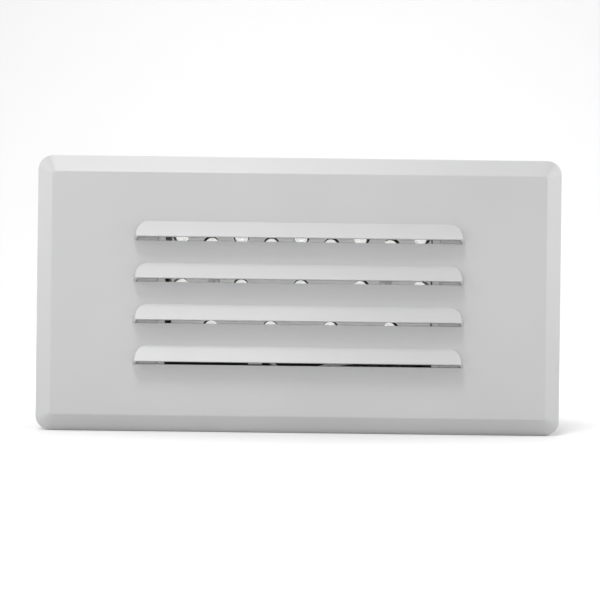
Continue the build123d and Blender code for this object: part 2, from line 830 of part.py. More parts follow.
with BuildPart() as board_header:
    with BuildSketch(side_plane(header_x)):
        with Locations((header_y, header_z)):
            Rectangle(header_d, header_h)
    extrude(amount=header_len)
    with BuildSketch(side_plane(header_mouth)):
        with Locations((header_y, header_z)):
            Rectangle(header_d - 2 * header_wall, header_h - 2 * header_wall)
    extrude(amount=header_floor - header_mouth, mode=Mode.SUBTRACT)
    with BuildSketch(side_plane(header_mouth)):
        with Locations(*[(y, header_z) for y in pin_depths]):
            Circle(pin_r + thread_gap)
    extrude(amount=-header_len, mode=Mode.SUBTRACT)
    with BuildSketch(front_plane(header_y + wire_pitch)):
        with Locations(*[(x, header_z) for x in pin_legs]):
            Circle(pin_r + thread_gap)
    extrude(amount=2 * header_d, mode=Mode.SUBTRACT)
board_header.part.label = "board_header"
export_step(board_header.part, "parts/board_header.step")

with BuildPart() as header_pins:
    for depth, leg in zip(pin_depths, pin_legs):
        with BuildLine() as pin_path:
            FilletPolyline(
                (leg, board_y - resistor_stand, header_z),
                (leg, depth, header_z),
                (header_mouth - pin_back, depth, header_z),
                radius=2 * pin_r,
            )
        with BuildSketch(Plane(origin=pin_path.line @ 0, z_dir=pin_path.line % 0)):
            Circle(pin_r)
        sweep(path=pin_path.line)
header_pins.part.label = "header_pins"
export_step(header_pins.part, "parts/header_pins.step")

plug_end = header_mouth + plug_len
plug_wires = [(y, header_z) for y in pin_depths]
with BuildPart() as lead_plug:
    with BuildSketch(side_plane(header_mouth)):
        with Locations((header_y, header_z)):
            Rectangle(header_d, header_h)
    extrude(amount=plug_len)
    fillet(lead_plug.edges().filter_by(Axis.X), plug_soft)
    with BuildSketch(side_plane(header_mouth)):
        with Locations((header_y, header_z)):
            Rectangle(nose_d, nose_h)
    extrude(amount=-plug_nose_len)
    with BuildSketch(side_plane(header_mouth - plug_nose_len)):
        with Locations(*plug_wires):
            Circle(pin_r + thread_gap)
    extrude(amount=plug_nose_len - pin_back / 2, mode=Mode.SUBTRACT)
    with BuildSketch(side_plane(plug_end)):
        with Locations(*plug_wires):
            Circle(signal_r + lead_gap)
    extrude(amount=-plug_len / 2, mode=Mode.SUBTRACT)
lead_plug.part.label = "lead_plug"
export_step(lead_plug.part, "parts/lead_plug.step")

# ---------------------------------------------------------------- driver
driver_mid_x = driver_x + driver_len / 2
driver_front = inside_back - driver_d
driver_base_y = inside_back - driver_base_t
driver_board_back = driver_base_y - driver_post_h
driver_board_y = driver_board_back - driver_board_t
driver_in_w = driver_len - 2 * driver_wall
driver_in_h = driver_h - 2 * driver_wall
mains_y = driver_board_y - mains_r
signal_y = driver_board_y - signal_r
mains_exits = [driver_z + mains_spread, driver_z - mains_spread]
signal_exits = [driver_z + signal_spread, driver_z - signal_spread]

with BuildPart() as driver_base:
    with BuildSketch(front_plane(inside_back)):
        with Locations((driver_mid_x, driver_z)):
            Rectangle(driver_len, driver_h)
            RectangleRounded(driver_len + 2 * driver_ear, driver_ear_h, driver_ear / 2)
        with Locations(*[(x, driver_z) for x in driver_screw_x]):
            Circle(box_screw_r + hole_gap, mode=Mode.SUBTRACT)
    extrude(amount=driver_base_t)
    with BuildSketch(front_plane(driver_base_y)):
        with Locations((driver_mid_x, driver_z)):
            with GridLocations(driver_in_w - 4 * driver_post_r, driver_in_h - 4 * driver_post_r, 2, 2):
                Circle(driver_post_r)
    extrude(amount=driver_post_h)
driver_base.part.label = "driver_base"
export_step(driver_base.part, "parts/driver_base.step")

with BuildPart() as driver_case:
    with BuildSketch(front_plane(driver_base_y)):
        with Locations((driver_mid_x, driver_z)):
            RectangleRounded(driver_len, driver_h, driver_wall)
    extrude(amount=driver_base_y - driver_front)
    fillet(driver_case.faces().sort_by(Axis.Y)[0].edges(), driver_soft)
    with BuildSketch(front_plane(driver_base_y)):
        with Locations((driver_mid_x, driver_z)):
            Rectangle(driver_in_w, driver_in_h)
    extrude(amount=driver_base_y - driver_front - driver_wall, mode=Mode.SUBTRACT)
    with BuildSketch(side_plane(driver_x)):
        with Locations(*[(mains_y, z) for z in mains_exits]):
            Circle(mains_r + lead_gap)
    extrude(amount=driver_wall, mode=Mode.SUBTRACT)
    with BuildSketch(side_plane(driver_x + driver_len)):
        with Locations(*[(signal_y, z) for z in signal_exits]):
            Circle(signal_r + lead_gap)
    extrude(amount=-driver_wall, mode=Mode.SUBTRACT)
driver_case.part.label = "driver_case"
export_step(driver_case.part, "parts/driver_case.step")

with BuildPart() as driver_board:
    with BuildSketch(front_plane(driver_board_back)):
        with Locations((driver_mid_x, driver_z)):
            Rectangle(driver_in_w - 2 * hole_gap, driver_in_h - 2 * hole_gap)
    extrude(amount=driver_board_t)
driver_board.part.label = "driver_board"
export_step(driver_board.part, "parts/driver_board.step")

with BuildPart() as driver_transformer:
    with BuildSketch(front_plane(driver_board_y)):
        with Locations((driver_mid_x, driver_z)):
            Rectangle(transformer_w, transformer_h)
    extrude(amount=transformer_d)
    with BuildSketch(front_plane(driver_board_y - transformer_gap)):
        with Locations((driver_mid_x, driver_z)):
            Rectangle(transformer_w + 2 * transformer_bulge, transformer_h - 2 * transformer_bulge)
    extrude(amount=transformer_d - 2 * transformer_gap)
driver_transformer.part.label = "driver_transformer"
export_step(driver_transformer.part, "parts/driver_transformer.step")

with BuildPart() as driver_capacitors:
    for distance, can_r, can_h in driver_cans:
        with BuildSketch(front_plane(driver_board_y)):
            with Locations((driver_mid_x + distance, driver_z)):
                Circle(can_r)
        extrude(amount=can_h)
    fillet(driver_capacitors.faces().group_by(Axis.Y)[0].edges(), can_soft)
driver_capacitors.part.label = "driver_capacitors"
export_step(driver_capacitors.part, "parts/driver_capacitors.step")

with BuildPart() as driver_screws:
    with Locations(*[across(x, driver_base_y, driver_z, (0, -1, 0)) for x in driver_screw_x]):
        add(pan_screw(box_screw_r, driver_screw_len, box_head_r, box_head_h))
driver_screws.part.label = "driver_screws"
export_step(driver_screws.part, "parts/driver_screws.step")


# ---------------------------------------------------------------- leads
def bend_radii(points):
    """For each corner of a route, the largest arc that leaves a tenth of the shorter run straight."""
    spots = [Vector(*point) for point in points]
    radii = []
    for before, corner, after in zip(spots, spots[1:], spots[2:]):
        turn = (corner - before).get_angle(after - corner)
        shorter = min((corner - before).length, (after - corner).length)
        radii.append(0.45 * shorter / tan(radians(turn / 2)))
    return radii


def lead(points, wire_r):
    """An insulated lead along straight runs joined by arcs."""
    radii = bend_radii(points)
    print("lead bends:", [round(radius, 1) for radius in radii])
    with BuildPart() as wire:
        with BuildLine() as route:
            FilletPolyline(*points, radius=radii)
        with BuildSketch(Plane(origin=route.line @ 0, z_dir=route.line % 0)):
            Circle(wire_r)
        sweep(path=route.line)
    return wire.part


# The leads to the LED board leave its plug, sag below its edge and rise again on the right.
plug_seat = plug_end - plug_len / 2
driver_end = driver_x + driver_len
signal_start = driver_end - driver_wall - driver_post_r
for name, depth, plug_slack, driver_slack, turn, height in (
    (
        "led_lead_positive",
        pin_depths[0],
        positive_plug_slack,
        positive_driver_slack,
        positive_turn,
        signal_exits[0],
    ),
    (
        "led_lead_negative",
        pin_depths[1],
        negative_plug_slack,
        negative_driver_slack,
        negative_turn,
        signal_exits[1],
    ),
):
    signal_route = [(plug_seat, depth, header_z), (plug_end + signal_straight, depth, header_z)]
    signal_route += [(plug_end + x, depth + y, header_z + z) for x, y, z in plug_slack]
    signal_route += [(driver_end + x, depth + y, header_z + z) for x, y, z in driver_slack]
    signal_route += [(driver_end + turn, signal_y + lead_gap, height - 3 * lead_gap)]
    signal_route += [(signal_start, signal_y, height)]
    with BuildPart() as signal_lead:
        add(lead(signal_route, signal_r))
    signal_lead.part.label = name
    export_step(signal_lead.part, f"parts/{name}.step")

# supply leads from the driver's left end up into their wire nuts
mains_start = driver_x + driver_wall + driver_post_r
lead_top = nut_mouth_z + nut_bore_d
supply_routes = {
    "supply_lead_black": [
        (mains_start, mains_y, mains_exits[0]),
        (driver_x - black_straight, mains_y, mains_exits[0]),
        (*black_nut, nut_mouth_z - black_drop),
        (*black_nut, lead_top),
    ],
    "supply_lead_white": [
        (mains_start, mains_y, mains_exits[1]),
        (driver_x - white_straight, mains_y, mains_exits[1]),
        (white_nut[0] + mains_r, white_nut[1] + mains_r, nut_mouth_z - white_low),
        (*white_nut, nut_mouth_z - white_drop),
        (*white_nut, lead_top),
    ],
}
for name, points in supply_routes.items():
    with BuildPart() as supply_lead:
        add(lead(points, mains_r))
    supply_lead.part.label = name
    export_step(supply_lead.part, f"parts/{name}.step")


def wire_nut():
    """A twist-on wire connector with its mouth on z = 0 and its tip up."""
    with BuildPart() as nut:
        with BuildSketch():
            Circle(nut_mouth_r)
        with BuildSketch(Plane.XY.offset(nut_len)):
            Circle(nut_tip_r)
        loft()
        fillet(nut.faces().sort_by(Axis.Z)[-1].edges(), nut_tip_r / 2)
        with BuildSketch(Plane.XY.offset(nut_rib_start)):
            with PolarLocations((nut_mouth_r + nut_tip_r) / 2, nut_ribs):
                Rectangle(nut_rib_w, nut_rib_t)
        extrude(amount=nut_rib_len)
        with BuildSketch():
            Circle(nut_bore_r)
        extrude(amount=nut_bore_d, mode=Mode.SUBTRACT)
    return nut.part


with BuildPart() as supply_wire_nuts:
    with Locations((*black_nut, nut_mouth_z), (*white_nut, nut_mouth_z)):
        add(wire_nut())
supply_wire_nuts.part.label = "supply_wire_nuts"
export_step(supply_wire_nuts.part, "parts/supply_wire_nuts.step")

# ---------------------------------------------------------------- ground connection
washer_y = inside_back - ring_t
with BuildPart() as ground_screw:
    with BuildSketch(front_plane(washer_y)):
        with Locations((ground_x, ground_z)):
            Circle(ground_washer_r)
    extrude(amount=ground_washer_h)
    with BuildSketch(front_plane(washer_y - ground_washer_h)):
        with Locations((ground_x, ground_z)):
            RegularPolygon(ground_head_r, 6)
    extrude(amount=ground_head_h)
    chamfer(ground_screw.faces().sort_by(Axis.Y)[0].edges(), ground_soft)
    with BuildSketch(front_plane(washer_y)):
        with Locations((ground_x, ground_z)):
            Circle(ground_r)
    extrude(amount=-ground_len)
    with BuildSketch(front_plane(washer_y - ground_washer_h - ground_head_h)):
        with Locations((ground_x, ground_z)):
            Rectangle(2 * ground_head_r, ground_slot_w)
    extrude(amount=-ground_slot_d, mode=Mode.SUBTRACT)
ground_screw.part.label = "ground_screw"
export_step(ground_screw.part, "parts/ground_screw.step")

barrel_y = inside_back - barrel_r
with BuildPart() as ground_terminal:
    with BuildSketch(front_plane(inside_back)):
        with Locations((ground_x, ground_z)):
            Circle(ring_r)
        with Locations(((ground_x + barrel_x - barrel_len / 2) / 2, ground_z)):
            Rectangle(ground_x - barrel_x + barrel_len / 2, 2 * barrel_r)
        with Locations((ground_x, ground_z)):
            Circle(ground_r + lead_gap, mode=Mode.SUBTRACT)
    extrude(amount=ring_t)
    with BuildSketch(side_plane(barrel_x)):
        with Locations((barrel_y, ground_z)):
            Circle(barrel_r)
    extrude(amount=-barrel_len)
    with BuildSketch(side_plane(barrel_x - barrel_len)):
        with Locations((barrel_y, ground_z)):
            Circle(mains_r + thread_gap)
    extrude(amount=crimp_depth, mode=Mode.SUBTRACT)
ground_terminal.part.label = "ground_terminal"
export_step(ground_terminal.part, "parts/ground_terminal.step")

barrel_seat = barrel_x - barrel_len + crimp_depth
with BuildPart() as ground_lead:
    ground_route = [
        (barrel_seat, barrel_y, ground_z),
        (barrel_x - barrel_len - ground_straight, barrel_y, ground_z),
        (ground_nut_x + overrun, ground_nut_y, ground_nut_z),
        (ground_nut_x - nut_bore_d, ground_nut_y, ground_nut_z),
    ]
    add(lead(ground_route, mains_r))
ground_lead.part.label = "ground_lead"
export_step(ground_lead.part, "parts/ground_lead.step")

with BuildPart() as ground_wire_nut:
    with Locations(across(ground_nut_x, ground_nut_y, ground_nut_z, (-1, 0, 0))):
        add(wire_nut())
ground_wire_nut.part.label = "ground_wire_nut"
export_step(ground_wire_nut.part, "parts/ground_wire_nut.step")

# ---------------------------------------------------------------- faceplate clips
leaf_line = leaf_base_x + leaf_t / 2
clip_rivet_grip = arm_t + leaf_t

for side, hand in ((-1, "left"), (1, "right")):
    with BuildPart() as clip_arm:
        with BuildSketch(top_plane(-arm_h / 2)):
            with BuildLine():
                FilletPolyline(
                    (side * (arm_x + arm_t - arm_foot), face_back + arm_t / 2),
                    (side * (arm_x + arm_t / 2), face_back + arm_t / 2),
                    (side * (arm_x + arm_t / 2), arm_reach),
                    radius=arm_bend_r,
                )
            trace(line_width=arm_t)
        extrude(amount=arm_h)
        fillet(clip_arm.edges().filter_by(Axis.X).group_by(Axis.Y)[-1], arm_end_r)
        with BuildSketch(side_plane(side * arm_x)):
            with Locations(*[(leaf_rivet_y, z) for z in (-leaf_rivet_z, leaf_rivet_z)]):
                Circle(leaf_rivet_r + thread_gap)
        extrude(amount=side * 2 * arm_t, mode=Mode.SUBTRACT)
    clip_arm.part.label = f"clip_arm_{hand}"
    export_step(clip_arm.part, f"parts/clip_arm_{hand}.step")

    with BuildPart() as spring_clip:
        with BuildSketch(top_plane(-leaf_h / 2)):
            with BuildLine():
                FilletPolyline(
                    (side * leaf_line, leaf_front_y),
                    (side * leaf_line, leaf_ramp_y),
                    (side * (leaf_apex_x - leaf_t / 2), leaf_apex_y),
                    (side * (leaf_line + leaf_tail_gap), leaf_fall_y),
                    (side * (leaf_line + leaf_tail_gap), leaf_end_y),
                    radius=leaf_bends,
                )
            trace(line_width=leaf_t)
        extrude(amount=leaf_h)
        with BuildSketch(side_plane(side * leaf_base_x)):
            with Locations(*[(leaf_rivet_y, z) for z in (-leaf_rivet_z, leaf_rivet_z)]):
                Circle(leaf_rivet_r + thread_gap)
        extrude(amount=side * 2 * leaf_t, mode=Mode.SUBTRACT)
    spring_clip.part.label = f"spring_clip_{hand}"
    export_step(spring_clip.part, f"parts/spring_clip_{hand}.step")

with BuildPart() as clip_rivets:
    for side in (-1, 1):
        for z in (-leaf_rivet_z, leaf_rivet_z):
            with BuildSketch(side_plane(side * arm_x)):
                with Locations((leaf_rivet_y, z)):
                    Circle(leaf_rivet_r)
            extrude(amount=side * clip_rivet_grip)
            for face_x, way in ((arm_x, -side), (arm_x + clip_rivet_grip, side)):
                with BuildSketch(side_plane(side * face_x)):
                    with Locations((leaf_rivet_y, z)):
                        Circle(leaf_rivet_head_r)
                extrude(amount=way * leaf_rivet_head_h)
clip_rivets.part.label = "clip_rivets"
export_step(clip_rivets.part, "parts/clip_rivets.step")

# ---------------------------------------------------------------- mounting brackets
bracket_x = box_w / 2 + bracket_gap
bracket_line = bracket_x + bracket_t / 2
nail_x = bracket_x + nail_reach
side_head_x = bracket_x + bracket_t + side_screw_play

for side, hand in ((-1, "left"), (1, "right")):
    with BuildPart() as mounting_bracket:
        with BuildSketch(top_plane(-bracket_h / 2)):
            with BuildLine():
                FilletPolyline(
                    (side * (bracket_x + bracket_reach), bracket_y + bracket_t / 2),
                    (side * bracket_line, bracket_y + bracket_t / 2),
                    (side * bracket_line, bracket_y + bracket_len),
                    radius=bracket_bend_r,
                )
            trace(line_width=bracket_t)
        extrude(amount=bracket_h)
        with BuildSketch(side_plane(side * bracket_x)):
            with Locations((bracket_y + bracket_len / 2, 0)):
                Rectangle(2 * bracket_len, bracket_notch_h)
        extrude(amount=side * bracket_notch, mode=Mode.SUBTRACT)
        with BuildSketch(side_plane(side * bracket_x)):
            with Locations(*side_screws):
                SlotCenterToCenter(2 * bracket_adjust, 2 * (box_screw_r + hole_gap))
        extrude(amount=side * bracket_t, mode=Mode.SUBTRACT)
        with BuildSketch(front_plane(bracket_y)):
            with Locations((side * nail_x, -nail_z), (side * nail_x, nail_z)):
                Circle(nail_hole_r)
        extrude(amount=-bracket_t, mode=Mode.SUBTRACT)
    mounting_bracket.part.label = f"mounting_bracket_{hand}"
    export_step(mounting_bracket.part, f"parts/mounting_bracket_{hand}.step")

with BuildPart() as bracket_screws:
    heads = [
        across(side * side_head_x, y, z, (side, 0, 0)) for side in (-1, 1) for y, z in side_screws
    ]
    with Locations(*heads):
        add(pan_screw(box_screw_r, side_screw_len, box_head_r, box_head_h))
bracket_screws.part.label = "bracket_screws"
export_step(bracket_screws.part, "parts/bracket_screws.step")
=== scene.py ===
# %% [markdown]
# # A recessed step light
#
# A step light sits in a wall beside a stair. What shows is a white steel faceplate with four
# pressed louvres that throw the light down on the tread. Behind it are a foam gasket, a
# galvanised wall box, a white LED panel on an inner frame, and the driver with its wiring.
#
# The sheet metal, the fasteners and the housings come from the CAD frame, because their shapes
# are exact there. This file gives each of them a surface, and models again what the frame holds
# only in plain form: the LED domes, the screws with their threads, and the wires.

# %% The frame
import json
from math import cos, pi, radians, sin

import bmesh
import bpy
from mathutils import Matrix, Vector


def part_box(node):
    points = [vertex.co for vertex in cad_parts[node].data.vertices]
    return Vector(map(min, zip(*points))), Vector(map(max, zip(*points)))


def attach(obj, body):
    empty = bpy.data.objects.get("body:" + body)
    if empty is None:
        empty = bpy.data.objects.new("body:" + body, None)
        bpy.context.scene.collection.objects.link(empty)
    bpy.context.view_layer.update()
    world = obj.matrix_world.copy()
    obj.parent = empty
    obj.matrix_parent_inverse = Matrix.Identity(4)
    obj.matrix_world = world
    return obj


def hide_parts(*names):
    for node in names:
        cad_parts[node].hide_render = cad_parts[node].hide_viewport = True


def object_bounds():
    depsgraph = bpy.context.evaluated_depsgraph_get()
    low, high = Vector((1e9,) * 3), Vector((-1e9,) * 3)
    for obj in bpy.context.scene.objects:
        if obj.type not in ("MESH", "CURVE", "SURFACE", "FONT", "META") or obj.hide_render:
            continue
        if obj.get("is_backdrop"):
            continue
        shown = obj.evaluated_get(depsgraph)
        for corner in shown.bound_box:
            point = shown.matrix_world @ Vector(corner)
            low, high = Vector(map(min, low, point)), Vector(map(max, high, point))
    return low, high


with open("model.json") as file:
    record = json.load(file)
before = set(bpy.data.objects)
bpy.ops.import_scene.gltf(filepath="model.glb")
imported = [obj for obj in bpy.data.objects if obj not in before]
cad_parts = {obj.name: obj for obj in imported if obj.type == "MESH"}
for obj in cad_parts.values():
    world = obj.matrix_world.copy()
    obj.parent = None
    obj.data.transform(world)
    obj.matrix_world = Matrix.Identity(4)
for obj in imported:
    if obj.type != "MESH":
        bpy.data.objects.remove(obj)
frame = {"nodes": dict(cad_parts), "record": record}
cad_low, cad_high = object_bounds()
nodes = frame["nodes"]
MM = 0.001

# %% [markdown]
# ## The camera
#
# The photograph was taken straight at the faceplate from about half a metre, and the camera was
# tilted a little round its own axis. A long lens of 70 mm on a 36 mm sensor gives that view: the
# plate fills nine tenths of the width, and the louvres' lips, which stand nearer, look a little
# larger than the plate behind them. The lens follows from the distance and from how much of the
# face's plane the picture has to hold.

# %% Camera
face_y = -6.5 * MM
face_distance = 480 * MM
view_width_at_face = 245 * MM
view_centre_x = 0.6 * MM
view_centre_z = -1.9 * MM
camera_roll = -0.7

camera_data = bpy.data.cameras.new("camera")
camera_data.sensor_width = 36
camera_data.lens = camera_data.sensor_width * face_distance / view_width_at_face
camera_data.clip_start = 0.01
camera = bpy.data.objects.new("camera", camera_data)
camera.location = (view_centre_x, face_y - face_distance, view_centre_z)
camera.rotation_euler = (radians(90), radians(camera_roll), 0)
bpy.context.scene.collection.objects.link(camera)
bpy.context.scene.camera = camera
print("lens:", round(camera_data.lens, 1), "mm")

# %% [markdown]
# ## Floor and backdrop
#
# A product photograph of this kind is taken on a white sweep. The floor passes under the plate's
# lower edge and rises behind it in one curve, so that no line shows between floor and backdrop.
# It is a profile of points that the extrude operator pulls out sideways.

# %% Sweep
def paper(name, colour):
    """A matt white paper for the sweep."""
    material = bpy.data.materials.new(name)
    material.use_nodes = True
    shader = material.node_tree.nodes["Principled BSDF"]
    shader.inputs["Base Color"].default_value = (*colour, 1)
    shader.inputs["Roughness"].default_value = 0.9
    return material


floor_z = cad_low.z
sweep_reach = 3.0
curve_start = 0.5
curve_radius = 0.5

sweep = bmesh.new()
sweep_profile = [(-sweep_reach, floor_z), (curve_start, floor_z)]
sweep_profile += [
    (
        curve_start + curve_radius * sin(radians(angle)),
        floor_z + curve_radius - curve_radius * cos(radians(angle)),
    )
    for angle in range(10, 91, 10)
]
sweep_profile.append((curve_start + curve_radius, sweep_reach))
sweep_line = [sweep.verts.new((-sweep_reach, y, z)) for y, z in sweep_profile]
sweep_runs = [sweep.edges.new(pair) for pair in zip(sweep_line, sweep_line[1:])]
pulled = bmesh.ops.extrude_edge_only(sweep, edges=sweep_runs)["geom"]
pulled_verts = [item for item in pulled if isinstance(item, bmesh.types.BMVert)]
bmesh.ops.translate(sweep, verts=pulled_verts, vec=(2 * sweep_reach, 0, 0))
bmesh.ops.recalc_face_normals(sweep, faces=sweep.faces)
sweep_mesh = bpy.data.meshes.new("floor")
sweep.to_mesh(sweep_mesh)
sweep.free()
for face in sweep_mesh.polygons:
    face.use_smooth = True
floor = bpy.data.objects.new("floor", sweep_mesh)
floor.data.materials.append(paper("white_paper", (0.75, 0.75, 0.75)))
bpy.context.scene.collection.objects.link(floor)
floor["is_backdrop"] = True
print("sweep:", len(sweep_mesh.polygons), "faces, level", round(floor_z * 1000, 1), "mm")

# %% [markdown]
# ## Light
#
# The strongest light is high in front and a little to the left, where the sloping hoods mirror
# it: that is what sets them off from the flat face. A small light behind the camera reaches into
# the slits. It is kept out of mirror images, because on bent metal it would show as a hard spark.
# Two boxes at the sides light the plate's bevels, a near one makes the face fade from left to
# right, and one from above whitens the backdrop. The colour transform is Standard, so a tone
# comes out as set.

# %% Lights
def soft_box(name, place, size, power, aim=(0, 0, 0)):
    """A square area light, aimed at the middle of the part unless told otherwise."""
    data = bpy.data.lights.new(name, "AREA")
    data.shape = "SQUARE"
    data.size = size
    data.energy = power
    lamp = bpy.data.objects.new(name, data)
    lamp.location = place
    lamp.rotation_euler = (Vector(aim) - Vector(place)).to_track_quat("-Z", "Y").to_euler()
    bpy.context.scene.collection.objects.link(lamp)
    return lamp


soft_box("main_light", (-0.18, -0.57, 1.13), 0.35, 8.6)
front_light = soft_box("front_light", (0.0006, -0.52, -0.0019), 0.03, 0.84)
front_light.visible_glossy = False
soft_box("near_light", (-0.36, -0.28, 0.24), 0.15, 0.42)
soft_box("left_light", (-0.90, 0.0, 0.36), 0.8, 3.4)
soft_box("right_light", (0.90, 0.0, 0.36), 0.8, 5.8)
soft_box("back_light", (0.0, 0.55, 1.4), 1.0, 8.5, aim=(0, 0.9, 0.2))

world = bpy.data.worlds.new("studio")
world.use_nodes = True
background = world.node_tree.nodes["Background"]
background.inputs["Color"].default_value = (1, 1, 1, 1)
background.inputs["Strength"].default_value = 0.35
bpy.context.scene.world = world
bpy.context.scene.view_settings.view_transform = "Standard"
print("lights:", len(bpy.data.lights), "soft boxes and an even surround")

# %% [markdown]
# ## How the finishes are made
#
# Each finish starts from one helper that sets what is the same all over: colour, roughness and
# metal. Patterns come from noise and cell textures on Object coordinates. Every piece here lies
# at its true place in metres, so one scale means the same size on all of them, and a pattern
# stays put when a piece moves. Scales are given as the size of one feature, which is easier to
# picture.

# %% Finish helpers
def finish(name, colour, roughness, metallic=0.0, specular=0.5, coat=0.0):
    """A new material with its uniform values on the shader, and the tree's parts to build on."""
    material = bpy.data.materials.new(name)
    material.use_nodes = True
    shader = material.node_tree.nodes["Principled BSDF"]
    shader.inputs["Base Color"].default_value = (*colour, 1)
    shader.inputs["Roughness"].default_value = roughness
    shader.inputs["Metallic"].default_value = metallic
    shader.inputs["Specular IOR Level"].default_value = specular
    shader.inputs["Coat Weight"].default_value = coat
    material.diffuse_color = (*colour, 1)
    return material


def add_node(material, kind, **settings):
    """A node of a material, with its settings."""
    node = material.node_tree.nodes.new(kind)
    for setting, value in settings.items():
        setattr(node, setting, value)
    return node


def join(material, out, into):
    """A link between two sockets."""
    material.node_tree.links.new(out, into)


def object_place(material, stretch=(1, 1, 1)):
    """Object coordinates in metres, stretched for drawn and woven patterns."""
    coordinates = add_node(material, "ShaderNodeTexCoord")
    mapping = add_node(material, "ShaderNodeMapping")
    mapping.inputs["Scale"].default_value = stretch
    join(material, coordinates.outputs["Object"], mapping.inputs["Vector"])
    return mapping.outputs["Vector"]


def cloudiness(material, place, feature, detail=3.0):
    """Noise whose clouds are about one feature wide, from 0 to 1."""
    noise = add_node(material, "ShaderNodeTexNoise")
    noise.inputs["Scale"].default_value = 1 / feature
    noise.inputs["Detail"].default_value = detail
    noise.inputs["Roughness"].default_value = 0.5
    join(material, place, noise.inputs["Vector"])
    return noise.outputs["Fac"]


def cells(material, place, feature, output="Distance"):
    """Cells about one feature wide: their distance, or a colour for each."""
    texture = add_node(material, "ShaderNodeTexVoronoi", feature="F1")
    texture.inputs["Scale"].default_value = 1 / feature
    join(material, place, texture.inputs["Vector"])
    return texture.outputs[output]


def between(material, amount, low, high):
    """A colour ramp from one colour to another."""
    ramp = add_node(material, "ShaderNodeValToRGB")
    ramp.color_ramp.elements[0].position = low[0]
    ramp.color_ramp.elements[0].color = (*low[1], 1)
    ramp.color_ramp.elements[1].position = high[0]
    ramp.color_ramp.elements[1].color = (*high[1], 1)
    join(material, amount, ramp.inputs["Fac"])
    return ramp.outputs["Color"]


def spread(material, amount, low, high):
    """A number from low to high as amount goes from 0 to 1."""
    reach = add_node(material, "ShaderNodeMapRange")
    reach.inputs["To Min"].default_value = low
    reach.inputs["To Max"].default_value = high
    join(material, amount, reach.inputs["Value"])
    return reach.outputs["Result"]


def relief(material, height, depth, strength, under=None):
    """A bump of the given depth in metres, on top of another if there is one."""
    bump = add_node(material, "ShaderNodeBump")
    bump.inputs["Strength"].default_value = strength
    bump.inputs["Distance"].default_value = depth
    join(material, height, bump.inputs["Height"])
    if under is not None:
        join(material, under, bump.inputs["Normal"])
    return bump.outputs["Normal"]


def shader_of(material):
    """The principled shader of a material."""
    return material.node_tree.nodes["Principled BSDF"]


def tint(colour, factor):
    """A colour made lighter or darker."""
    return tuple(min(1.0, channel * factor) for channel in colour)


print("helpers ready")

# %% [markdown]
# ## Powder coat
#
# The faceplate is dusted with dry paint and baked. The paint flows just enough to leave a very
# fine orange peel, about a millimetre from crest to crest and a few hundredths deep, with a satin
# gloss that breaks up slightly. Two bumps make that: the peel, and a finer grain inside it. The
# colour varies by a few percent, in clouds six centimetres wide. The faceplate's white is painted
# down to a mid grey, far below a white paint's own value, as painted shade: the lights are strong
# enough to bring the paper behind it to pure white. The panel inside the slits gets far less
# light, so it has the full white of its paint.

# %% White powder coat
def powder_coat(name, colour, roughness):
    """Baked powder paint with a fine orange peel."""
    material = finish(name, colour, roughness, specular=0.6)
    place = object_place(material)
    clouds = cloudiness(material, place, 60 * MM, detail=2)
    shade = between(material, clouds, (0.3, tint(colour, 0.975)), (0.7, tint(colour, 1.02)))
    join(material, shade, shader_of(material).inputs["Base Color"])
    patches = cloudiness(material, place, 9 * MM)
    gloss = spread(material, patches, roughness - 0.05, roughness + 0.06)
    join(material, gloss, shader_of(material).inputs["Roughness"])
    peel = relief(material, cloudiness(material, place, 1.6 * MM, detail=1), 0.05 * MM, 0.35)
    grain = cloudiness(material, place, 0.35 * MM, detail=2)
    skin = relief(material, grain, 0.012 * MM, 0.35, under=peel)
    join(material, skin, shader_of(material).inputs["Normal"])
    return material


# painted shade: the faceplate's white is set far below its own value to make up for the strong
# lights
white_coat_with_painted_shade = powder_coat("white_powder_coat_with_painted_shade_finish", (0.41, 0.41, 0.415), 0.40)
white_panel = powder_coat("white_paint_finish", (0.93, 0.93, 0.92), 0.6)
print("painted finishes made")
